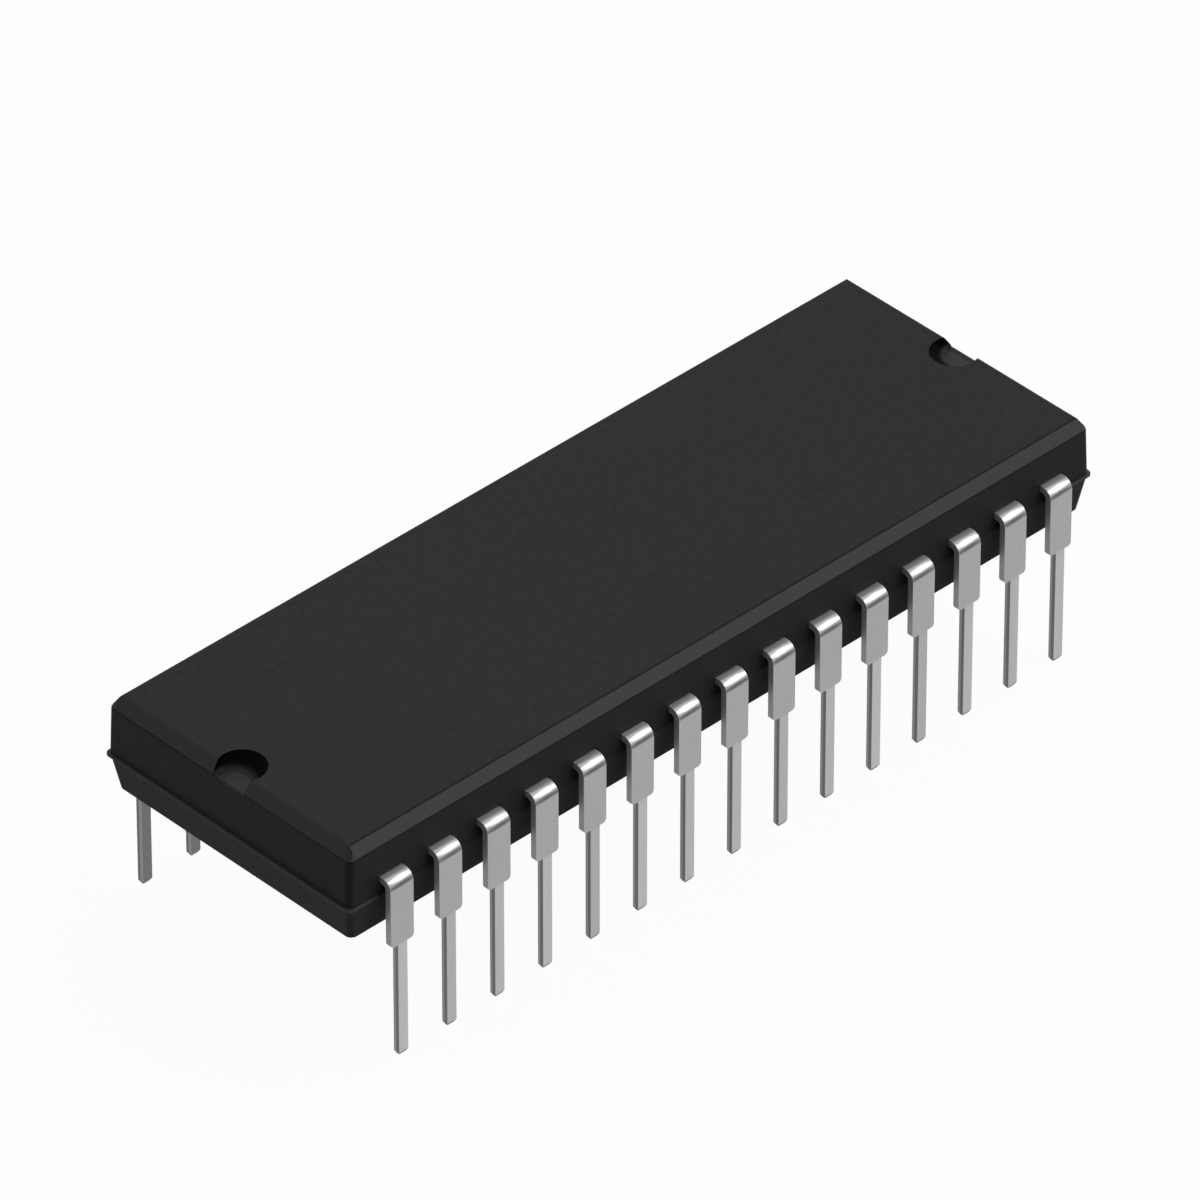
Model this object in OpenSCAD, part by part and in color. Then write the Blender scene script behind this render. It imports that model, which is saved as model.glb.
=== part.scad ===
// Dual in-line integrated circuit: moulded package, thirty formed leads, and
// the lead frame, chip and bond wires that the moulding holds inside.
// X runs along the package, Y across it, Z up. The origin is on the plane of
// the lead tips, under the middle of the package.

/* [Package] */
// Length of the moulding at its parting plane
body_len = 27.94; // [26.6:0.02:29.2]
// Width of the moulding at its parting plane
body_w = 9.58; // [8.8:0.02:9.6]
// Height of the lower half, underside to parting plane
lower_h = 1.18; // [0.9:0.01:1.5]
// Height of the upper half's wall, parting plane to foot of the chamfer
upper_h = 1.57; // [1.3:0.01:2.2]
// How far each wall of the upper half leans in over its height
upper_draft = 0.04; // [0.01:0.01:0.12]
// How far each wall of the lower half leans in over its height
lower_draft = 0.2; // [0.05:0.01:0.35]
// Radius of the upright corners
corner_r = 0.22; // [0.1:0.01:0.4]
// Height of the chamfer round the top face
chamfer_h = 0.38; // [0.2:0.01:0.5]
// Width of the chamfer round the top face, seen from above
chamfer_w = 0.26; // [0.23:0.01:0.45]

/* [Parting line] */
// How far the moulding ridge stands out of the end walls
ridge_end = 0.09; // [0.03:0.01:0.15]
// How far the moulding ridge stands out of the side walls
ridge_side = 0.05; // [0.02:0.01:0.09]
// Thickness of the moulding ridge
ridge_t = 0.11; // [0.05:0.01:0.2]

/* [End notches] */
// Radius of a notch where it opens in the top face
notch_r = 0.71; // [0.5:0.01:0.9]
// Distance from the end wall to the middle of that opening
notch_in = 0.52; // [0.4:0.01:0.7]
// Radius of the notch at its floor, centred on the end wall
notch_floor_r = 0.62; // [0.4:0.01:0.7]
// Depth of a notch below the top face
notch_depth = 0.38; // [0.2:0.01:0.5]
// Share of notch_in that the wall has kept half way down
notch_bow = 0.68; // [0.5:0.01:0.9]

/* [Ejector marks] */
// Radius of the round ejector marks in the underside
mark_r = 0.75; // [0.5:0.05:1]
// Depth of an ejector mark
mark_depth = 0.06; // [0.03:0.01:0.1]
// Distance from the middle of the package to an ejector mark
mark_x = 9.6; // [8:0.1:11]

/* [Leads] */
// Leads in one row
row_leads = 15; // [3:2:15]
// Spacing of the leads along a row
lead_pitch = 1.778; // [1.7:0.001:1.8]
// Distance between the middles of the two rows
row_gap = 10.16; // [10.1:0.01:10.6]
// Thickness of the lead strip
lead_t = 0.21; // [0.18:0.01:0.26]
// Width of the upper part of a lead
lead_w = 0.84; // [0.7:0.01:1]
// Width of the narrow part that goes into the board
pin_w = 0.35; // [0.3:0.01:0.5]
// Length of the narrow part, tip to shoulder
pin_len = 3.81; // [3:0.01:4.2]
// Height of the underside of the package above the shoulders
standoff = 0.46; // [0.3:0.01:0.6]
// Height of a lead's upper face above the underside of the package
lead_rise = 1.77; // [1.6:0.01:2.1]
// Outer radius of the bend
bend_r = 0.32; // [0.28:0.01:0.34]
// Radius of the rounded shoulders
shoulder_r = 0.13; // [0.05:0.01:0.16]
// Bevel round the tip of a lead
tip_bevel = 0.06; // [0.02:0.01:0.08]

/* [Lead frame inside] */
// How far the full width of a lead reaches into the moulding
root_in = 0.5; // [0.3:0.05:0.8]
// Width of the fingers that run in to the chip
finger_w = 0.3; // [0.2:0.01:0.32]
// Gap between the fingertips and the pad
finger_gap = 0.26; // [0.2:0.01:0.35]
// Length of the pad that carries the chip
pad_len = 5.2; // [4.8:0.1:6]
// Width of the pad that carries the chip
pad_w = 3.8; // [3.4:0.1:4.2]
// Width of the bar that ties the pad to each end of the frame
tie_w = 0.3; // [0.2:0.01:0.35]
// Moulding left over each end of the tie bar
tie_cover = 0.35; // [0.2:0.05:1]

/* [Chip] */
// Length of the chip
die_len = 3.6; // [3:0.1:4.2]
// Width of the chip
die_w = 2.5; // [2:0.1:2.9]
// Thickness of the chip
die_t = 0.28; // [0.2:0.01:0.35]
// Thickness of the adhesive under the chip
attach_t = 0.03; // [0.02:0.005:0.05]
// How far the adhesive spreads past the chip's sides
attach_edge = 0.08; // [0.04:0.01:0.15]

/* [Bond wires] */
// Thickness of a bond wire
wire_t = 0.03; // [0.025:0.005:0.04]
// Height of a wire's loop above the chip
loop_h = 0.18; // [0.1:0.01:0.2]
// Distance from the chip's side to its row of bond points
bond_in = 0.14; // [0.1:0.01:0.25]
// Distance from a fingertip's end to the bond on it
stitch_in = 0.2; // [0.12:0.01:0.3]
// Share of a wire's span where its loop is highest
loop_peak = 0.3; // [0.2:0.01:0.4]
// Share of a wire's span where it starts down to the finger
loop_end = 0.65; // [0.55:0.01:0.8]

/* [Hidden] */
end_lead = (row_leads - 1) / 2;
body_z = pin_len + standoff;
part_z = body_z + lower_h;
chamfer_z = part_z + upper_h;
top_z = chamfer_z + chamfer_h;
lead_z = body_z + lead_rise;
row_y = row_gap / 2;
root_y = body_w / 2 - root_in;
deck_z = lead_z + attach_t + die_t;

// The outline of the top half where its chamfer starts, and of the top face
foot_len = body_len - 2 * upper_draft;
foot_w = body_w - 2 * upper_draft;
top_len = foot_len - 2 * chamfer_w;
top_w = foot_w - 2 * chamfer_w;

// The path of the fingertips: round the pad, from one tie bar to the other
tip_x = pad_len / 2 + finger_gap;
tip_y = pad_w / 2 + finger_gap;
tip_step = (tip_x + tip_y - tie_w / 2 - finger_gap - finger_w / 2) / end_lead;

// The bond points on the chip follow a like path, inside its edge
bond_x = die_len / 2 - bond_in;
bond_y = die_w / 2 - bond_in;
bond_step = (bond_x + bond_y - 2 * bond_in) / end_lead;

// Small overlap that carries one solid cleanly into another
weld = 0.05;
// Sides of small circles, and of those that hull() blends
fine = 48;
blend_fine = 40;

function lead_name(k) = str("lead_", k < 10 ? "0" : "", k);
// Leads are numbered round the package: along the front row, back along the other
function on_back(k) = k > row_leads;
function place(k) = (on_back(k) ? k - row_leads : k) - 1 - end_lead;

// A point at a distance s along the path that runs round half a rectangle
function path_point(s, x, y) = abs(s) <= x ? [s, -y] : [sign(s) * x, abs(s) - x - y];
function root_point(n) = [n * lead_pitch, -root_y];
function tip_point(n) = path_point(n * tip_step, tip_x, tip_y);
function bond_point(n) = path_point(n * bond_step, bond_x, bond_y);
function unit(v) = v / norm(v);
function side_of(v) = [-v[1], v[0]];

// A rectangle with rounded corners
module rounded_rect(len, wid, r) {
    square([len - 2 * r, wid], center = true);
    square([len, wid - 2 * r], center = true);
    for (x = [-1, 1], y = [-1, 1])
        translate([x * (len / 2 - r), y * (wid / 2 - r)]) circle(r = r, $fn = blend_fine);
}

// The upper half of the moulding, up to its sharp-cornered top face
module upper_half() {
    hull() {
        translate([0, 0, part_z])
            linear_extrude(height = upper_h, scale = [foot_len / body_len, foot_w / body_w])
                rounded_rect(body_len, body_w, corner_r);
        translate([0, 0, chamfer_z])
            linear_extrude(height = chamfer_h, scale = [top_len / (foot_len - 2 * corner_r),
                    top_w / (foot_w - 2 * corner_r)])
                square([foot_len - 2 * corner_r, foot_w - 2 * corner_r], center = true);
    }
}

// The lower half of the moulding, drafted the other way
module lower_half() {
    translate([0, 0, part_z]) mirror([0, 0, 1])
        linear_extrude(height = lower_h, scale = [1 - 2 * lower_draft / body_len,
                1 - 2 * lower_draft / body_w])
            rounded_rect(body_len, body_w, corner_r);
}

// The ridge that the mould leaves at the parting plane, trimmed away beside the leads
module ridge() {
    trimmed = 2 * end_lead * lead_pitch + lead_w;
    translate([0, 0, part_z - ridge_t / 2]) linear_extrude(height = ridge_t) difference() {
        rounded_rect(body_len + 2 * ridge_end, body_w + 2 * ridge_side, corner_r);
        for (y = [-1, 1])
            translate([0, y * (body_w / 2 - corner_r + body_w / 2)])
                square([trimmed, body_w], center = true);
    }
}

// The pocket of one end notch: its inner wall runs out under the top opening
module notch() {
    middle_r = (notch_r + notch_floor_r) / 2;
    middle_in = notch_in * notch_bow;
    module disc(r, inward, depth) {
        translate([body_len / 2 - upper_draft - inward, 0, top_z - depth])
            cylinder(r = r, h = notch_depth, $fn = blend_fine);
    }
    hull() {
        disc(notch_r, notch_in, 0);
        disc(middle_r, middle_in, notch_depth / 2);
    }
    hull() {
        disc(middle_r, middle_in, notch_depth / 2);
        disc(notch_floor_r, 0, notch_depth);
    }
}

// The moulded epoxy case, cast round everything inside it
module mould_body() {
    color("#303234") difference() {
        union() {
            upper_half();
            lower_half();
            ridge();
        }
        for (turn = [0, 180]) rotate([0, 0, turn]) notch();
        for (x = [-1, 1])
            translate([x * mark_x, 0, body_z - mark_depth])
                cylinder(r = mark_r, h = 2 * mark_depth, $fn = fine);
        for (k = [1 : 2 * row_leads]) lead(k);
        die_pad();
        die_attach();
        die();
        bond_wires();
    }
}

// The side view of a lead: tip, upright, bend, and the flat that enters the case
module lead_profile() {
    outer = -row_y - lead_t / 2;
    polygon([[outer + tip_bevel, 0], [outer + lead_t - tip_bevel, 0],
        [outer + lead_t, tip_bevel], [outer + lead_t, lead_z - bend_r],
        [outer, lead_z - bend_r], [outer, tip_bevel]]);
    translate([outer + bend_r, lead_z - bend_r]) intersection() {
        difference() {
            circle(r = bend_r, $fn = fine);
            circle(r = bend_r - lead_t, $fn = fine);
        }
        translate([-bend_r, 0]) square(bend_r);
    }
    translate([outer + bend_r, lead_z - lead_t])
        square([row_y + lead_t / 2 - bend_r - root_y, lead_t]);
}

// The front view of a lead: narrow pin, rounded shoulders, wide upper part
module lead_outline() {
    shoulder = lead_w / 2 - shoulder_r;
    polygon([[tip_bevel - pin_w / 2, 0], [pin_w / 2 - tip_bevel, 0], [pin_w / 2, tip_bevel],
        [pin_w / 2, pin_len + weld], [-pin_w / 2, pin_len + weld], [-pin_w / 2, tip_bevel]]);
    translate([-shoulder, pin_len]) square([2 * shoulder, shoulder_r + weld]);
    translate([-lead_w / 2, pin_len + shoulder_r]) square([lead_w, lead_z - pin_len]);
    for (x = [-1, 1])
        translate([x * shoulder, pin_len + shoulder_r]) circle(r = shoulder_r, $fn = fine);
}

// The flat finger that runs from a lead's root to its place beside the pad
module finger(n) {
    way = unit(tip_point(n) - root_point(n));
    across = side_of(way) * finger_w / 2;
    // Measured along the row, the finger is wider the more it slants
    root_half = min(lead_w, finger_w / abs(way[1])) / 2;
    root = root_point(n) - [0, weld];
    translate([0, 0, lead_z - lead_t]) linear_extrude(height = lead_t)
        polygon([root - [root_half, 0], tip_point(n) + across,
            tip_point(n) - across, root + [root_half, 0]]);
}

// One lead, a single stamped strip from its tip in the board to its fingertip
module lead(k) {
    n = place(k);
    color("#c8cacc") rotate([0, 0, on_back(k) ? 180 : 0]) {
        translate([n * lead_pitch, 0, 0]) intersection() {
            translate([-lead_w / 2, 0, 0]) rotate([90, 0, 90])
                linear_extrude(height = lead_w) lead_profile();
            rotate([90, 0, 0]) linear_extrude(height = row_gap) lead_outline();
        }
        finger(n);
    }
}

// The pad under the chip, with the bar that tied it to the frame while moulding
module die_pad() {
    tie_len = body_len - 2 * tie_cover;
    color("#b98a5e") translate([0, 0, lead_z - lead_t]) linear_extrude(height = lead_t) {
        square([pad_len, pad_w], center = true);
        square([tie_len, tie_w], center = true);
    }
}

// The film of adhesive that fixes the chip to the pad
module die_attach() {
    color("#8d9096") translate([0, 0, lead_z + attach_t / 2])
        cube([die_len + 2 * attach_edge, die_w + 2 * attach_edge, attach_t], center = true);
}

// The silicon chip
module die() {
    color("#565d70") translate([0, 0, lead_z + attach_t + die_t / 2])
        cube([die_len, die_w, die_t], center = true);
}

// One bond wire, seen from its side: up from the chip, over, and down to a finger
module wire_arch(span) {
    drop = deck_z - lead_z;
    rise = span * loop_peak;
    far = span * loop_end;
    inner = loop_h - wire_t;
    half = wire_t / 2;
    polygon([[-half, 0], [-half, inner], [rise, loop_h], [far, inner], [span + half, -drop],
        [span - half, -drop], [far - wire_t, inner - wire_t], [rise, inner],
        [half, inner - wire_t], [half, 0]]);
}

// The wires that join the chip's bond points to the fingertips
module bond_wires() {
    color("#d9ab3c") for (turn = [0, 180]) rotate([0, 0, turn])
        for (n = [-end_lead : end_lead]) {
            from = bond_point(n);
            stitch = tip_point(n) - unit(tip_point(n) - root_point(n)) * stitch_in;
            way = stitch - from;
            translate([from[0], from[1], deck_z]) rotate([0, 0, atan2(way[1], way[0])])
                rotate([90, 0, 0]) translate([0, 0, -wire_t / 2])
                    linear_extrude(height = wire_t) wire_arch(norm(way));
        }
}

mould_body();
die_pad();
die_attach();
die();
bond_wires();
for (k = [1 : 2 * row_leads])
    lead(k);
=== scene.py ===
"""Looks of a dual in-line integrated circuit: a matte moulded case with tinned leads.

The case, its thirty leads, and the lead frame, chip and bond wires inside it all come from the
frame. Here they get rounded edges, smooth curves and their finishes, a plain pale floor, soft
studio light, and a camera at the photograph's viewing angle. Everything is in metres.
"""

import math

import bpy
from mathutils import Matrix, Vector


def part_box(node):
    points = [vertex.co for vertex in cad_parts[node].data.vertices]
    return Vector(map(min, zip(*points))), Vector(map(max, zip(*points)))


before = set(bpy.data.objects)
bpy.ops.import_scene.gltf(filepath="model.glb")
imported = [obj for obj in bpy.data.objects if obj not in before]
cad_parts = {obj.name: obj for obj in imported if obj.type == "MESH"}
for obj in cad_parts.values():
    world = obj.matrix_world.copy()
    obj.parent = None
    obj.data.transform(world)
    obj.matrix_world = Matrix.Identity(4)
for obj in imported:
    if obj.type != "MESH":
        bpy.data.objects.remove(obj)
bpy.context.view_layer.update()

MM = 0.001

# The outer corner of the case's box, which holds the ridge at its parting plane
case_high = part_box("mould_body")[1]

# The top face, and the height of the chamfer round it
TOP_Z = case_high.z
CHAMFER = 0.38 * MM

# The parting plane, how near to it the ridge of the moulding lies, and where the ridge starts
PARTING_Z = 5.45 * MM
RIDGE_HALF = 0.07 * MM
RIDGE_X = 12.9 * MM
# The notches in the two ends: how far they reach in, their half width and their depth
NOTCH_IN = 1.5 * MM
NOTCH_HALF = 0.76 * MM
NOTCH_DEPTH = 0.38 * MM

# The leads' shoulders, the height of the painted shade at their tips, bevel round the tips, level
# stretch at the case, painted dark reflection across the foot of the bend, and the middle of their
# thickness
SHOULDER_Z = 3.81 * MM
TIP_Z = 0.11 * MM
TIP_BEVEL = 0.06 * MM
LEAD_TOP_Z = 5.9 * MM
DARK_BAND_Z = 5.80 * MM
LEAD_MIDDLE_Y = 5.08 * MM

# Breaking of the case's edges, and rounding of the leads'
CASE_EDGE = 0.038 * MM
LEAD_EDGE = 0.014 * MM
# Faces over this area in square metres are flat, and smaller ones are parts of curves
FLAT_AREA = 0.25 * MM * MM
# Edges of the case are rounded within this distance of its box, and not in its cavities
CASE_SKIN = 0.42 * MM
# Edges of a lead are rounded from its tip to its root inside the case
LEAD_ROOT_Y = 4.2 * MM
# Points closer than this are joined, and faces that differ less in angle are one face
JOIN = 0.0001 * MM
SAME_FACE = math.radians(0.4)
# Convex edges over the first angle are rounded, and edges over the second are shaded as creases
ROUNDED_ANGLE = math.radians(25)
CREASE_ANGLE = math.radians(26)

# The camera: where it looks, and its direction seen from there
LOOK_AT = Vector((-0.178, 0.0, 5.94)) * MM
CAMERA_AZIMUTH = math.radians(-43.855)
CAMERA_ELEVATION = math.radians(37.418)
CAMERA_DISTANCE = 394.9 * MM
SENSOR = 36
LENS = 435.3

# The floor, its raised rim, and the light that it gives off
FLOOR_R = 0.45
COVE_R = 0.25
FLOOR_GLOW = 0.962
FLOOR_TINT = (1, 0.995, 0.985, 1)

# Soft lights: azimuth and elevation in degrees, distance, width and height, and radiance
KEY_LIGHT = (47, 40, 0.5, 0.34, 0.34, 1.9)
BACK_LIGHT = (140, 40, 0.5, 0.34, 0.34, 1.3)
# The surround, and its dark cards: azimuth, elevation, inner and outer angle in degrees, and the
# share of light that is left
SURROUND = 0.47
DARK_CARDS = ((-44, 32, 15, 50, 0.05), (34, -9, 11, 22, 0.0))

# Linear greys of the case; the long walls, chamfers and ridge carry painted light, and the notches
# carry painted shade with a painted lighter floor
SKIN = (0.0075, 0.0090)
GRAIN = 0.011
# Painted light: the long walls along the rows of leads are painted paler than the skin
LONG_WALL_PAINTED_LIGHT = (0.0170, 0.0190)
# Painted light on the chamfer round the top, paler along the rows than at the ends
CHAMFER_AT_ENDS_PAINTED_LIGHT = 0.046
CHAMFER_ALONG_ROWS_PAINTED_LIGHT = 0.078
# Painted highlight on the ridge at the parting plane, which also covers the shade beside it
RIDGE_PAINTED_HIGHLIGHT = 0.06
# Painted shade in the notches, and painted light on their floors
NOTCH_PAINTED_SHADE = 0.003
NOTCH_FLOOR_PAINTED_LIGHT = 0.030

# Linear greys of a lead, and the warmth of its duller parts; some of these greys are painted light or
# painted shade
PLATE = (0.75, 0.80)
CLOUD = 0.74
DIPPED = (0.80, 0.98)
# Painted light on the level stretch at the case
LEVEL_STRETCH_PAINTED_LIGHT = 0.98
# Painted dark reflection across the foot of the bend
BEND_FOOT_PAINTED_DARK_REFLECTION = 0.60
# The cut sides are duller, and darker still with painted shade
SHEARED_AND_PAINTED_SHADE = 0.50
TORN = 0.27
# Painted shade on the faces of the leads that look under the case
INWARD_PAINTED_SHADE = 0.38
# Painted shade on the bevelled tips, which face down
TIP_PAINTED_SHADE = 0.24
WARMTH = 0.01

# Colours of the pieces inside the case, each from one value to another
COPPER = ((0.62, 0.30, 0.15, 1), (0.42, 0.20, 0.11, 1))
ADHESIVE = (0.32, 0.62)
SILICON = ((0.10, 0.12, 0.17, 1), (0.20, 0.17, 0.22, 1))
GOLD = ((0.95, 0.62, 0.22, 1), (0.86, 0.54, 0.18, 1))

# Shares of a facing along an axis: where a mask is 0, and where it is 1
CHAMFER_UP = (0.25, 0.40)
END_CHAMFER_OUT = (0.41, 0.53)
ROW_CHAMFER_OUT = (0.70, 0.80)
LONG_WALL_OUT = (0.80, 0.95)
NOTCH_WALL_UP = (0.84, 0.78)
NOTCH_WALL_OUT = (0.78, 0.72)
LEAD_SIDE_OUT = (0.60, 0.95)
LEAD_FLAT_UP = (0.85, 0.97)
LEAD_FACE_OUT = (0.50, 0.80)
# The same for a facing away from the middle line, so negative towards it
LEAD_INWARD = (-0.40, -0.90)

# The range that fractal noise mostly stays in
NOISE_RANGE = (0.3, 0.7)

# A limit that nothing on the part reaches
FAR = 1.0


def direction(azimuth, elevation):
    """The unit vector towards a viewer or lamp: azimuth 0 is on the -Y side, 90 on the +X side."""
    return Vector((math.sin(azimuth) * math.cos(elevation),
                   -math.cos(azimuth) * math.cos(elevation),
                   math.sin(elevation)))


# Shader helpers. Each returns an output socket

def new_node(tree, kind, **settings):
    """A node of that kind, with its settings made."""
    node = tree.nodes.new(kind)
    for name, value in settings.items():
        setattr(node, name, value)
    return node


def feed(tree, socket, value):
    """Gives an input socket a constant, or a link if the value is another socket."""
    if isinstance(value, bpy.types.NodeSocket):
        tree.links.new(value, socket)
    else:
        socket.default_value = value


def grey(value, warmth=0.0):
    """A linear grey, or a slightly red one with some warmth."""
    return (value * (1 + warmth), value, value * (1 - warmth), 1)


def millimetres(tree, stretch=(1, 1, 1)):
    """The position on the part in millimetres, each axis scaled by its stretch."""
    place = new_node(tree, "ShaderNodeTexCoord")
    scaled = new_node(tree, "ShaderNodeMapping")
    scaled.inputs["Scale"].default_value = [s / MM for s in stretch]
    tree.links.new(place.outputs["Object"], scaled.inputs["Vector"])
    return scaled.outputs["Vector"]


def noise(tree, vector, scale, detail=3.0, roughness=0.55):
    """Fractal noise around 0.5, with scale in waves per unit of its vector."""
    node = new_node(tree, "ShaderNodeTexNoise")
    node.inputs["Scale"].default_value = scale
    node.inputs["Detail"].default_value = detail
    node.inputs["Roughness"].default_value = roughness
    tree.links.new(vector, node.inputs["Vector"])
    return node.outputs["Fac"]


def spread(tree, value, low, high, to_low=0.0, to_high=1.0):
    """A value's range from low to high, moved smoothly to another range and held there."""
    node = new_node(tree, "ShaderNodeMapRange", interpolation_type="SMOOTHSTEP")
    feed(tree, node.inputs["Value"], value)
    node.inputs["From Min"].default_value = low
    node.inputs["From Max"].default_value = high
    node.inputs["To Min"].default_value = to_low
    node.inputs["To Max"].default_value = to_high
    return node.outputs["Result"]


def mottle(tree, vector, scale, low=0.0, high=1.0, **settings):
    """Noise that wanders between a low and a high value."""
    return spread(tree, noise(tree, vector, scale, **settings), *NOISE_RANGE, low, high)


def combine(tree, operation, a, b=0.0):
    """A sum, product or other operation on two values."""
    node = new_node(tree, "ShaderNodeMath", operation=operation)
    feed(tree, node.inputs[0], a)
    feed(tree, node.inputs[1], b)
    return node.outputs["Value"]


def blend_colour(tree, share, a, b):
    """Colour a where share is 0, turning into colour b where it is 1."""
    node = new_node(tree, "ShaderNodeMix", data_type="RGBA")
    feed(tree, node.inputs["Factor"], share)
    feed(tree, node.inputs[6], a)
    feed(tree, node.inputs[7], b)
    return node.outputs[2]


def relief(tree, height, depth, strength, under=None):
    """A normal for fine relief: height from 0 to 1 over that depth, on top of another relief."""
    node = new_node(tree, "ShaderNodeBump")
    node.inputs["Strength"].default_value = strength
    node.inputs["Distance"].default_value = depth
    feed(tree, node.inputs["Height"], height)
    if under:
        tree.links.new(under, node.inputs["Normal"])
    return node.outputs["Normal"]


def axis_of(tree, vector, axis):
    """One axis of a vector, without its sign."""
    node = new_node(tree, "ShaderNodeSeparateXYZ")
    tree.links.new(vector, node.inputs["Vector"])
    return combine(tree, "ABSOLUTE", node.outputs[axis])


def place_of(tree):
    """The position on the part in metres."""
    return new_node(tree, "ShaderNodeTexCoord").outputs["Object"]


def facing_of(tree):
    """The direction that the surface faces, in the part's frame."""
    return new_node(tree, "ShaderNodeTexCoord").outputs["Normal"]


def new_material(name, colour, roughness, metallic=0.0, normal=None, specular=None):
    """A material with a principled shader, whose colour, relief and so on come from functions."""
    made = bpy.data.materials.new(name)
    made.use_nodes = True
    tree = made.node_tree
    shader = tree.nodes["Principled BSDF"]
    shader.inputs["Metallic"].default_value = metallic
    feed(tree, shader.inputs["Base Color"], colour(tree))
    feed(tree, shader.inputs["Roughness"], roughness(tree))
    if specular:
        feed(tree, shader.inputs["Specular IOR Level"], specular(tree))
    if normal:
        feed(tree, shader.inputs["Normal"], normal(tree))
    return made


# Masks and materials

def within(tree, value, low, high, soft):
    """1 where a value lies between two limits, with soft ends."""
    return combine(tree, "MULTIPLY", spread(tree, value, low - soft, low + soft),
                   spread(tree, value, high + soft, high - soft))


def chamfer_painted_light_masks(tree):
    """Masks of the sloping faces round the top, where light is painted: 1 at the ends, and 1 along the
    rows of leads.
    """
    z = axis_of(tree, place_of(tree), "Z")
    facing = facing_of(tree)
    foot = TOP_Z - CHAMFER
    tilted = combine(tree, "MULTIPLY", spread(tree, axis_of(tree, facing, "Z"), *CHAMFER_UP),
                     spread(tree, z, foot, foot + 0.07 * CHAMFER))
    at_ends = spread(tree, axis_of(tree, facing, "X"), *END_CHAMFER_OUT)
    along_rows = spread(tree, axis_of(tree, facing, "Y"), *ROW_CHAMFER_OUT)
    return combine(tree, "MULTIPLY", tilted, at_ends), combine(tree, "MULTIPLY", tilted, along_rows)


def notch_painted_shade_mask(tree):
    """1 inside the index notches, where shade is painted, and 0 on the chamfer and on the broken edge
    that end at them.
    """
    place = place_of(tree)
    x, y, z = (axis_of(tree, place, axis) for axis in "XYZ")
    facing = facing_of(tree)
    soft = 0.004 * MM
    start = case_high.x - NOTCH_IN
    floor = TOP_Z - NOTCH_DEPTH
    ends = combine(tree, "MULTIPLY", spread(tree, x, start, start + soft),
                   spread(tree, y, NOTCH_HALF, NOTCH_HALF - soft))
    steep = spread(tree, axis_of(tree, facing, "Z"), *NOTCH_WALL_UP)
    rim = combine(tree, "MULTIPLY", steep, spread(tree, z, TOP_Z, TOP_Z - soft))
    deep = spread(tree, z, TOP_Z - CASE_EDGE, TOP_Z - CASE_EDGE - soft)
    deep = combine(tree, "MULTIPLY", combine(tree, "MAXIMUM", rim, deep),
                   spread(tree, z, floor - 2 * soft, floor - soft))
    off_chamfer = spread(tree, axis_of(tree, facing, "X"), *NOTCH_WALL_OUT)
    return combine(tree, "MULTIPLY", combine(tree, "MULTIPLY", ends, deep), off_chamfer)


def notch_painted_light_mask(tree):
    """1 on the floor of a notch and at the foot of its wall, where light is painted, and 0 in the
    painted shade under its rim.
    """
    z = axis_of(tree, place_of(tree), "Z")
    floor = TOP_Z - NOTCH_DEPTH
    return spread(tree, z, floor + 0.15 * MM, floor + 0.005 * MM)


def ridge_painted_highlight_mask(tree):
    """1 on the fine ridge at the parting plane, which runs round the ends up to the last leads; a
    highlight is painted there.
    """
    x = axis_of(tree, place_of(tree), "X")
    z = axis_of(tree, place_of(tree), "Z")
    level = within(tree, z, PARTING_Z - RIDGE_HALF, PARTING_Z + RIDGE_HALF, 0.01 * MM)
    return combine(tree, "MULTIPLY", level, spread(tree, x, RIDGE_X, RIDGE_X + 0.1 * MM))


def mould_compound():
    """Filled epoxy: near black and matte, with painted light on its long walls, chamfer and ridge, and
    painted shade in its notches.
    """

    def colour(tree):
        flow = spread(tree, noise(tree, millimetres(tree, (0.5, 1, 1)), 0.25), 0.35, 0.65)
        grain = mottle(tree, millimetres(tree), 22)
        skin = blend_colour(tree, flow, grey(SKIN[0]), grey(SKIN[1]))
        skin = blend_colour(tree, combine(tree, "MULTIPLY", grain, 0.3), skin, grey(GRAIN))
        # Painted light: the walls that face the rows of leads are painted paler
        wall = spread(tree, axis_of(tree, facing_of(tree), "Y"), *LONG_WALL_OUT)
        wall_painted_light = blend_colour(tree, grain, grey(LONG_WALL_PAINTED_LIGHT[0]), grey(LONG_WALL_PAINTED_LIGHT[1]))
        skin = blend_colour(tree, wall, skin, wall_painted_light)
        # Painted light: the chamfer is painted paler, more along the rows than at the ends
        at_ends, along_rows = chamfer_painted_light_masks(tree)
        skin = blend_colour(tree, at_ends, skin, grey(CHAMFER_AT_ENDS_PAINTED_LIGHT))
        skin = blend_colour(tree, along_rows, skin, grey(CHAMFER_ALONG_ROWS_PAINTED_LIGHT))
        # Painted highlight along the ridge
        skin = blend_colour(tree, ridge_painted_highlight_mask(tree), skin, grey(RIDGE_PAINTED_HIGHLIGHT))
        # Painted shade under each notch's rim, turning to painted light on its floor
        notch = blend_colour(tree, notch_painted_light_mask(tree), grey(NOTCH_PAINTED_SHADE), grey(NOTCH_FLOOR_PAINTED_LIGHT))
        return blend_colour(tree, notch_painted_shade_mask(tree), skin, notch)

    def roughness(tree):
        return mottle(tree, millimetres(tree), 5, 0.52, 0.58, detail=4.0)

    def specular(tree):
        shade = combine(tree, "SUBTRACT", 1.0, notch_painted_light_mask(tree))
        return spread(tree, combine(tree, "MULTIPLY", shade, notch_painted_shade_mask(tree)), 0.0, 1.0, 0.2, 0.03)

    def normal(tree):
        return relief(tree, noise(tree, millimetres(tree), 18, 2.0), 0.003 * MM, 0.5)

    return new_material("moulded_epoxy", colour, roughness, normal=normal, specular=specular)


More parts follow.
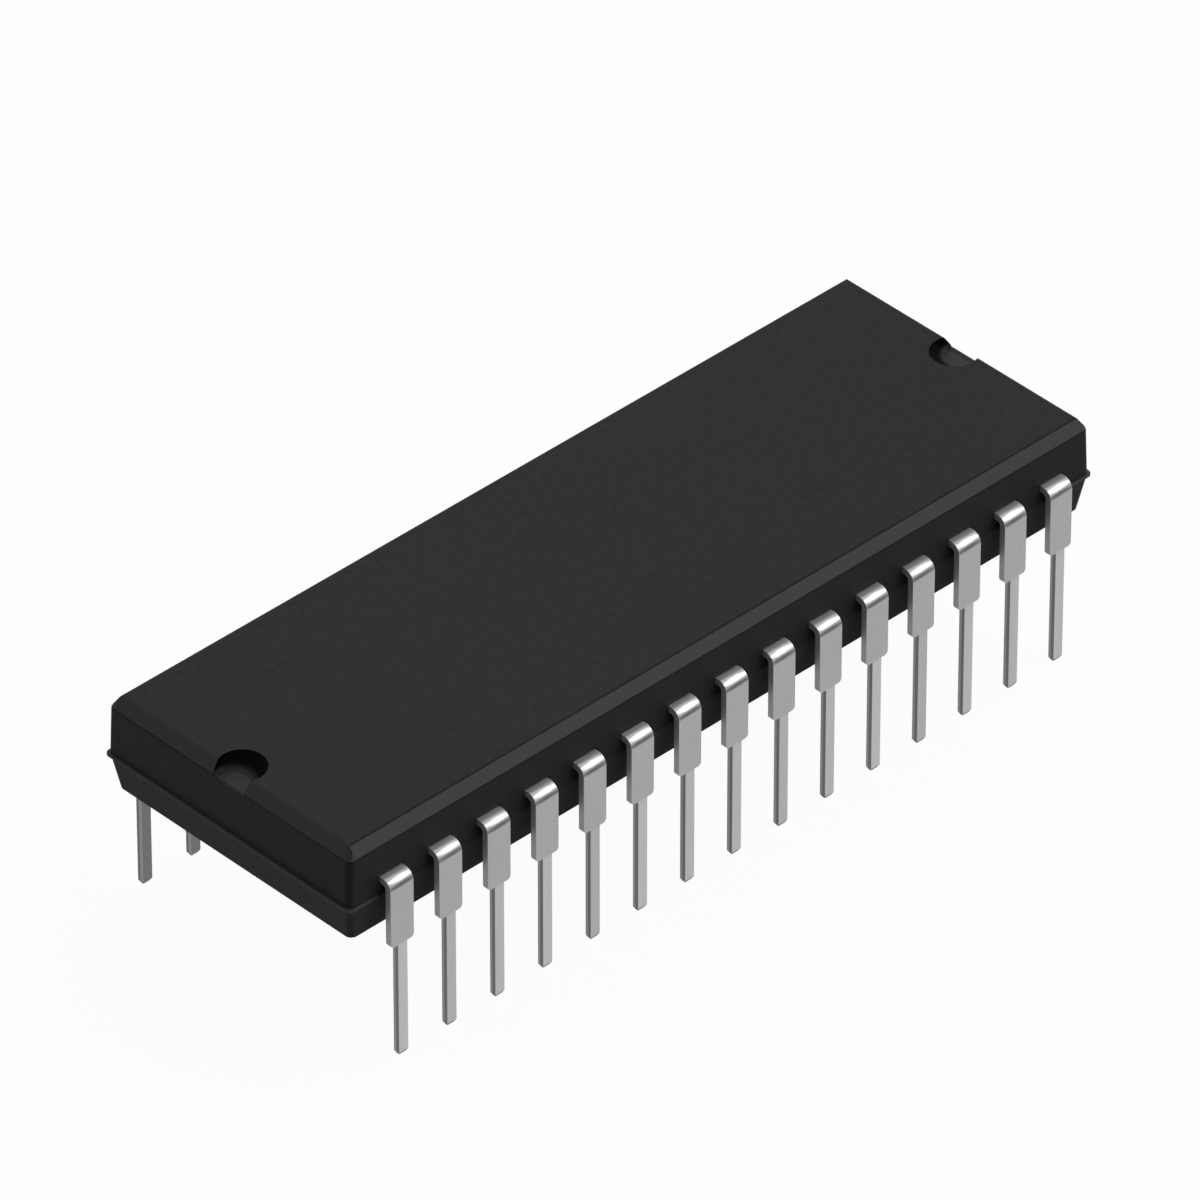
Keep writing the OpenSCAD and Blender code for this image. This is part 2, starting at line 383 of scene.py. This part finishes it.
def pin_mask(tree):
    """1 on the pin of a lead, below its shoulders."""
    z = axis_of(tree, place_of(tree), "Z")
    return spread(tree, z, SHOULDER_Z + 0.1 * MM, SHOULDER_Z - 0.1 * MM)


def sheared_mask(tree):
    """1 on the sides of a lead, where the strip was cut."""
    return spread(tree, axis_of(tree, facing_of(tree), "X"), *LEAD_SIDE_OUT)


def torn_mask(tree):
    """1 on the outer half of a pin's sides, where the cut tore instead of sliding."""
    y = axis_of(tree, place_of(tree), "Y")
    outer = spread(tree, y, LEAD_MIDDLE_Y - 0.02 * MM, LEAD_MIDDLE_Y + 0.02 * MM)
    outer_pin = combine(tree, "MULTIPLY", outer, pin_mask(tree))
    return combine(tree, "MULTIPLY", outer_pin, sheared_mask(tree))


def inward_painted_shade_mask(tree):
    """1 on the face of a lead that looks under the case at the other row, where shade is painted."""
    product = new_node(tree, "ShaderNodeVectorMath", operation="MULTIPLY")
    feed(tree, product.inputs[0], facing_of(tree))
    feed(tree, product.inputs[1], place_of(tree))
    parts = new_node(tree, "ShaderNodeSeparateXYZ")
    tree.links.new(product.outputs["Vector"], parts.inputs["Vector"])
    start, full = (share * LEAD_MIDDLE_Y for share in LEAD_INWARD)
    return spread(tree, parts.outputs["Y"], start, full)


def level_stretch_painted_light_mask(tree):
    """1 on the level stretch at the case, where light is painted to make it paler."""
    level = spread(tree, axis_of(tree, facing_of(tree), "Z"), *LEAD_FLAT_UP)
    z = axis_of(tree, place_of(tree), "Z")
    return combine(tree, "MULTIPLY", level, spread(tree, z, LEAD_TOP_Z, LEAD_TOP_Z + 0.05 * MM))


def bend_foot_dark_reflection_mask(tree):
    """1 on a painted dark reflection, a dull band across the foot of the bend."""
    z = axis_of(tree, place_of(tree), "Z")
    outward = spread(tree, axis_of(tree, facing_of(tree), "Y"), *LEAD_FACE_OUT)
    half = 0.05 * MM
    line = within(tree, z, DARK_BAND_Z - half, DARK_BAND_Z + half, 0.04 * MM)
    return combine(tree, "MULTIPLY", outward, line)


def tinned_lead():
    """Tin plate on rolled strip: fine lines along the strip, dull sheared sides with painted shade,
    painted light on the level stretch, a painted dark reflection at the foot of the bend, and painted
    shade on the inward faces and tips.
    """

    def along(tree):
        return millimetres(tree, (1, 0.06, 0.06))

    def colour(tree):
        streaks = mottle(tree, along(tree), 28, detail=4.0, roughness=0.6)
        cloud = spread(tree, noise(tree, millimetres(tree), 0.9), 0.35, 0.65)
        plate = blend_colour(tree, streaks, grey(PLATE[0]), grey(PLATE[1]))
        cloudy = combine(tree, "MULTIPLY", cloud, 0.25)
        plate = blend_colour(tree, cloudy, plate, grey(CLOUD, WARMTH))
        # Each pin took a little more or less of the tin that the pins were dipped in
        dip = spread(tree, noise(tree, millimetres(tree, (1, 0, 0)), 0.31, 1.0), 0.32, 0.60)
        tin = blend_colour(tree, dip, grey(DIPPED[0]), grey(DIPPED[1]))
        plate = blend_colour(tree, pin_mask(tree), plate, tin)
        # Painted light: the level stretch at the case is painted paler
        plate = blend_colour(tree, level_stretch_painted_light_mask(tree), plate, grey(LEVEL_STRETCH_PAINTED_LIGHT))
        # Painted dark reflection: a dull band across the foot of the bend
        plate = blend_colour(tree, bend_foot_dark_reflection_mask(tree), plate, grey(BEND_FOOT_PAINTED_DARK_REFLECTION, WARMTH))
        # The cut sides: a duller finish with painted shade on top
        plate = blend_colour(tree, sheared_mask(tree), plate, grey(SHEARED_AND_PAINTED_SHADE, WARMTH))
        plate = blend_colour(tree, torn_mask(tree), plate, grey(TORN, WARMTH))
        # Painted shade on the inward faces, which the case shades
        plate = blend_colour(tree, inward_painted_shade_mask(tree), plate, grey(INWARD_PAINTED_SHADE, WARMTH))
        # Painted shade: the bottom of each pin, with its bevel, is painted dark
        z = axis_of(tree, place_of(tree), "Z")
        tip = spread(tree, z, 1.15 * TIP_Z, 0.9 * TIP_Z)
        return blend_colour(tree, tip, plate, grey(TIP_PAINTED_SHADE, WARMTH))

    def roughness(tree):
        plate = mottle(tree, along(tree), 14, 0.22, 0.27)
        return combine(tree, "ADD", plate, combine(tree, "MULTIPLY", sheared_mask(tree), 0.2))

    def normal(tree):
        lines = relief(tree, noise(tree, along(tree), 26, 2.0), 0.0002 * MM, 0.2)
        return relief(tree, noise(tree, millimetres(tree), 3, 2.0), 0.0005 * MM, 0.15, lines)

    return new_material("tin_plate", colour, roughness, metallic=0.66, normal=normal)


def frame_copper():
    """Bare rolled copper alloy of the pad that carries the chip."""

    def colour(tree):
        tarnish = spread(tree, noise(tree, millimetres(tree), 1.2, 4.0), 0.35, 0.7)
        return blend_colour(tree, tarnish, *COPPER)

    def along(tree):
        return millimetres(tree, (0.05, 1, 1))

    def roughness(tree):
        return mottle(tree, along(tree), 20, 0.25, 0.42)

    def normal(tree):
        return relief(tree, noise(tree, along(tree), 26), 0.002 * MM, 0.5)

    return new_material("rolled_copper", colour, roughness, metallic=1.0, normal=normal)


def attach_epoxy():
    """Silver-filled adhesive: flakes in a pale grey paste."""

    def colour(tree):
        flakes = spread(tree, noise(tree, millimetres(tree), 40, 2.0), 0.4, 0.6)
        return blend_colour(tree, flakes, grey(ADHESIVE[0]), grey(ADHESIVE[1]))

    def roughness(tree):
        return mottle(tree, millimetres(tree), 18, 0.35, 0.6)

    def normal(tree):
        return relief(tree, noise(tree, millimetres(tree), 12), 0.004 * MM, 0.6)

    return new_material("silver_adhesive", colour, roughness, metallic=0.4, normal=normal)


def silicon():
    """Polished silicon with the faint blocks of a circuit."""

    def colour(tree):
        cells = new_node(tree, "ShaderNodeTexVoronoi", distance="CHEBYCHEV")
        blocks_per_mm = 4.5
        cells.inputs["Scale"].default_value = blocks_per_mm
        tree.links.new(millimetres(tree), cells.inputs["Vector"])
        block = spread(tree, cells.outputs["Distance"], 0.1, 0.6)
        return blend_colour(tree, block, *SILICON)

    def roughness(tree):
        return mottle(tree, millimetres(tree), 5, 0.12, 0.24)

    def normal(tree):
        return relief(tree, noise(tree, millimetres(tree), 30, 1.0), 0.0005 * MM, 0.4)

    return new_material("polished_silicon", colour, roughness, metallic=0.7, normal=normal)


def bond_gold():
    """Drawn gold wire."""

    def colour(tree):
        return blend_colour(tree, mottle(tree, millimetres(tree), 8), *GOLD)

    def roughness(tree):
        return mottle(tree, millimetres(tree), 30, 0.15, 0.28)

    def normal(tree):
        return relief(tree, noise(tree, millimetres(tree), 60), 0.0005 * MM, 0.4)

    return new_material("gold_wire", colour, roughness, metallic=1.0, normal=normal)


def pale_floor():
    """A plain near-white studio sweep that glows a little, so that shadows on it stay faint."""

    def colour(tree):
        return blend_colour(tree, noise(tree, place_of(tree), 40), grey(0.04), grey(0.05))

    def roughness(tree):
        return mottle(tree, place_of(tree), 25, 0.85, 0.95)

    made = new_material("studio_floor", colour, roughness)
    shader = made.node_tree.nodes["Principled BSDF"]
    shader.inputs["Specular IOR Level"].default_value = 0.0
    shader.inputs["Emission Color"].default_value = FLOOR_TINT
    shader.inputs["Emission Strength"].default_value = FLOOR_GLOW
    return made


# Rounded edges and smooth curves, made by modifiers on the nodes of the frame

def node_group(name):
    """An empty geometry node group, with its input and output."""
    group = bpy.data.node_groups.new(name, "GeometryNodeTree")
    group.interface.new_socket("Geometry", in_out="INPUT", socket_type="NodeSocketGeometry")
    group.interface.new_socket("Geometry", in_out="OUTPUT", socket_type="NodeSocketGeometry")
    return group, group.nodes.new("NodeGroupInput"), group.nodes.new("NodeGroupOutput")


def compare(group, value, limit, operation="GREATER_THAN"):
    """True where a value is over its limit, or under it with the operation LESS_THAN."""
    node = new_node(group, "FunctionNodeCompare", data_type="FLOAT", operation=operation)
    feed(group, node.inputs[0], value)
    node.inputs[1].default_value = limit
    return node.outputs["Result"]


def either(group, a, b):
    """True where either of two values is."""
    node = new_node(group, "FunctionNodeBooleanMath", operation="OR")
    feed(group, node.inputs[0], a)
    feed(group, node.inputs[1], b)
    return node.outputs[0]


def both(group, a, b):
    """True where both of two values are."""
    node = new_node(group, "FunctionNodeBooleanMath", operation="AND")
    feed(group, node.inputs[0], a)
    feed(group, node.inputs[1], b)
    return node.outputs[0]


def on_both_ends(group, test):
    """True on an edge where the test holds at both of its ends."""
    node = new_node(group, "GeometryNodeFieldOnDomain", data_type="BOOLEAN", domain="POINT")
    feed(group, node.inputs[0], test)
    return node.outputs[0]


def outer_edges(name, past_x, past_y, past_z, aside=-FAR):
    """Marks the convex edges past one of three limits, save those that lie near the middle line."""
    group, source, result = node_group(name)
    place = new_node(group, "GeometryNodeInputPosition").outputs[0]
    y = axis_of(group, place, "Y")
    outside = either(group, compare(group, axis_of(group, place, "X"), past_x),
                     compare(group, y, past_y))
    outside = either(group, outside, compare(group, axis_of(group, place, "Z"), past_z))
    angle = new_node(group, "GeometryNodeInputMeshEdgeAngle").outputs["Signed Angle"]
    chosen = both(group, on_both_ends(group, outside), compare(group, angle, ROUNDED_ANGLE))
    near = on_both_ends(group, compare(group, y, aside, "LESS_THAN"))
    far = combine(group, "SUBTRACT", 1.0, near)
    mark = new_node(group, "GeometryNodeStoreNamedAttribute", data_type="FLOAT", domain="EDGE")
    mark.inputs["Name"].default_value = "bevel_weight_edge"
    feed(group, mark.inputs["Geometry"], source.outputs[0])
    feed(group, mark.inputs["Value"], combine(group, "MULTIPLY", chosen, far))
    feed(group, result.inputs[0], mark.outputs["Geometry"])
    return group


def tapered_tips(bevel, height):
    """Draws the upper rim of the bevel round a lead's tip up to that height."""
    group, source, result = node_group("tapered_tips")
    z = axis_of(group, new_node(group, "GeometryNodeInputPosition").outputs[0], "Z")
    rim = both(group, compare(group, z, 0.5 * bevel), compare(group, z, 1.5 * bevel, "LESS_THAN"))
    move = new_node(group, "GeometryNodeSetPosition")
    feed(group, move.inputs["Geometry"], source.outputs[0])
    feed(group, move.inputs["Selection"], rim)
    move.inputs["Offset"].default_value = (0, 0, height - bevel)
    feed(group, result.inputs[0], move.outputs["Geometry"])
    return group


def smooth_curves(limit, flat_area):
    """Shades small faces smoothly, but not the large flat ones or across edges past the limit."""
    group, source, result = node_group("smooth_curves")
    drop = new_node(group, "GeometryNodeRemoveAttribute")
    drop.inputs["Name"].default_value = "custom_normal"
    faces = new_node(group, "GeometryNodeSetShadeSmooth", domain="FACE")
    edges = new_node(group, "GeometryNodeSetShadeSmooth", domain="EDGE")
    area = new_node(group, "GeometryNodeInputMeshFaceArea").outputs["Area"]
    angle = new_node(group, "GeometryNodeInputMeshEdgeAngle").outputs["Unsigned Angle"]
    feed(group, drop.inputs["Geometry"], source.outputs[0])
    feed(group, faces.inputs["Geometry"], drop.outputs["Geometry"])
    feed(group, faces.inputs["Shade Smooth"], compare(group, area, flat_area, "LESS_THAN"))
    feed(group, edges.inputs["Geometry"], faces.outputs["Geometry"])
    feed(group, edges.inputs["Selection"], compare(group, angle, limit))
    edges.inputs["Shade Smooth"].default_value = False
    feed(group, result.inputs[0], edges.outputs["Geometry"])
    return group


def add_modifier(piece, kind, **settings):
    """Puts a modifier on a piece, with its settings made."""
    made = piece.modifiers.new(kind.lower(), kind)
    for name, value in settings.items():
        setattr(made, name, value)


def dress(piece, finish, smooth, marks=None, width=0.0, segments=3, shape=None):
    """Gives a node its finish and shape, rounds its marked edges and smooths its curves."""
    for slot in piece.material_slots:
        slot.material = finish
    add_modifier(piece, "WELD", merge_threshold=JOIN)
    add_modifier(piece, "DECIMATE", decimate_type="DISSOLVE", angle_limit=SAME_FACE)
    if shape:
        add_modifier(piece, "NODES", node_group=shape)
    if marks:
        add_modifier(piece, "NODES", node_group=marks)
        add_modifier(piece, "BEVEL", width=width, segments=segments, limit_method="WEIGHT",
                     use_clamp_overlap=False, miter_outer="MITER_ARC")
    add_modifier(piece, "NODES", node_group=smooth)


def dress_part():
    """Every node of the frame with its finish."""
    smooth = smooth_curves(CREASE_ANGLE, FLAT_AREA)
    case_edges = outer_edges("case_edges", case_high.x - CASE_SKIN, case_high.y - CASE_SKIN,
                             TOP_Z - CHAMFER / 2, NOTCH_HALF)
    lead_edges = outer_edges("lead_edges", FAR, LEAD_ROOT_Y, FAR)
    tips = tapered_tips(TIP_BEVEL, TIP_Z)
    tin = tinned_lead()
    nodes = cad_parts
    for name, piece in nodes.items():
        if name.startswith("lead_"):
            dress(piece, tin, smooth, lead_edges, LEAD_EDGE, shape=tips)
    dress(nodes["mould_body"], mould_compound(), smooth, case_edges, CASE_EDGE, segments=1)
    dress(nodes["die_pad"], frame_copper(), smooth)
    dress(nodes["die_attach"], attach_epoxy(), smooth)
    dress(nodes["die"], silicon(), smooth)
    dress(nodes["bond_wires"], bond_gold(), smooth)


# The studio

def make_floor():
    """A round floor whose rim sweeps up, turned from its profile about the part."""
    steps = 15
    turns = [math.radians(90 * step / steps) for step in range(steps + 1)]
    arc = [(FLOOR_R + COVE_R * math.sin(t), COVE_R * (1 - math.cos(t))) for t in turns]
    inner_rings = (0.02, 0.2)
    profile = [(share * FLOOR_R, 0.0) for share in inner_rings] + arc
    sides = 96
    points = [(0.0, 0.0, 0.0)]
    for r, z in profile:
        points += [(r * math.cos(2 * math.pi * k / sides), r * math.sin(2 * math.pi * k / sides), z)
                   for k in range(sides)]
    faces = [(0, 1 + k, 1 + (k + 1) % sides) for k in range(sides)]
    for ring in range(len(profile) - 1):
        start = 1 + ring * sides
        for k in range(sides):
            after = (k + 1) % sides
            faces.append((start + k, start + sides + k, start + sides + after, start + after))
    mesh = bpy.data.meshes.new("studio_floor")
    mesh.from_pydata(points, [], faces)
    mesh.shade_smooth()
    mesh.materials.append(pale_floor())
    floor = bpy.data.objects.new("studio_floor", mesh)
    bpy.context.scene.collection.objects.link(floor)
    # The part is lit and mirrored by the even surround, as if it hung clear of the floor
    floor.visible_diffuse = False
    floor.visible_glossy = False
    floor.visible_shadow = False


def add_softbox(name, azimuth, elevation, distance, width, height, radiance):
    """A square soft light that faces the part, as bright as its radiance says at any distance."""
    lamp = bpy.data.lights.new(name, "AREA")
    lamp.shape = "RECTANGLE"
    lamp.size = width
    lamp.size_y = height
    lamp.energy = radiance * math.pi * width * height
    box = bpy.data.objects.new(name, lamp)
    towards = direction(math.radians(azimuth), math.radians(elevation))
    box.location = LOOK_AT + distance * towards
    box.rotation_mode = "QUATERNION"
    box.rotation_quaternion = towards.to_track_quat("Z", "Y")
    box.visible_camera = False
    bpy.context.scene.collection.objects.link(box)


def make_surround(level, dark_cards):
    """An even grey surround with round dark cards, which fade out from an inner to an outer angle."""
    world = bpy.data.worlds.new("surround")
    world.use_nodes = True
    tree = world.node_tree
    way = new_node(tree, "ShaderNodeTexCoord").outputs["Generated"]
    for azimuth, elevation, inner, outer, left in dark_cards:
        towards = direction(math.radians(azimuth), math.radians(elevation))
        nearness = new_node(tree, "ShaderNodeVectorMath", operation="DOT_PRODUCT")
        feed(tree, nearness.inputs[0], way)
        nearness.inputs[1].default_value = towards
        share = spread(tree, nearness.outputs["Value"], math.cos(math.radians(outer)),
                       math.cos(math.radians(inner)), 1.0, left)
        level = combine(tree, "MULTIPLY", level, share)
    background = tree.nodes["Background"]
    background.inputs["Color"].default_value = grey(1)
    feed(tree, background.inputs["Strength"], level)
    bpy.context.scene.world = world


def light_studio():
    """A key light on the camera's right, one behind the part, and a surround."""
    add_softbox("key_light", *KEY_LIGHT)
    add_softbox("back_light", *BACK_LIGHT)
    make_surround(SURROUND, DARK_CARDS)


def place_camera():
    """A long lens at the photograph's angle."""
    lens = bpy.data.cameras.new("camera")
    lens.sensor_width = SENSOR
    lens.lens = LENS
    lens.clip_start = 1 * MM
    lens.clip_end = 100
    camera = bpy.data.objects.new("camera", lens)
    back = direction(CAMERA_AZIMUTH, CAMERA_ELEVATION)
    camera.location = LOOK_AT + CAMERA_DISTANCE * back
    camera.rotation_mode = "QUATERNION"
    camera.rotation_quaternion = back.to_track_quat("Z", "Y")
    bpy.context.scene.collection.objects.link(camera)
    bpy.context.scene.camera = camera


def set_tones():
    """Plain tones: what is white in the studio is white in the picture."""
    view = bpy.context.scene.view_settings
    view.view_transform = "Standard"
    view.look = "None"
    view.exposure = 0.0
    view.gamma = 1.0


dress_part()
make_floor()
light_studio()
place_camera()
set_tones()
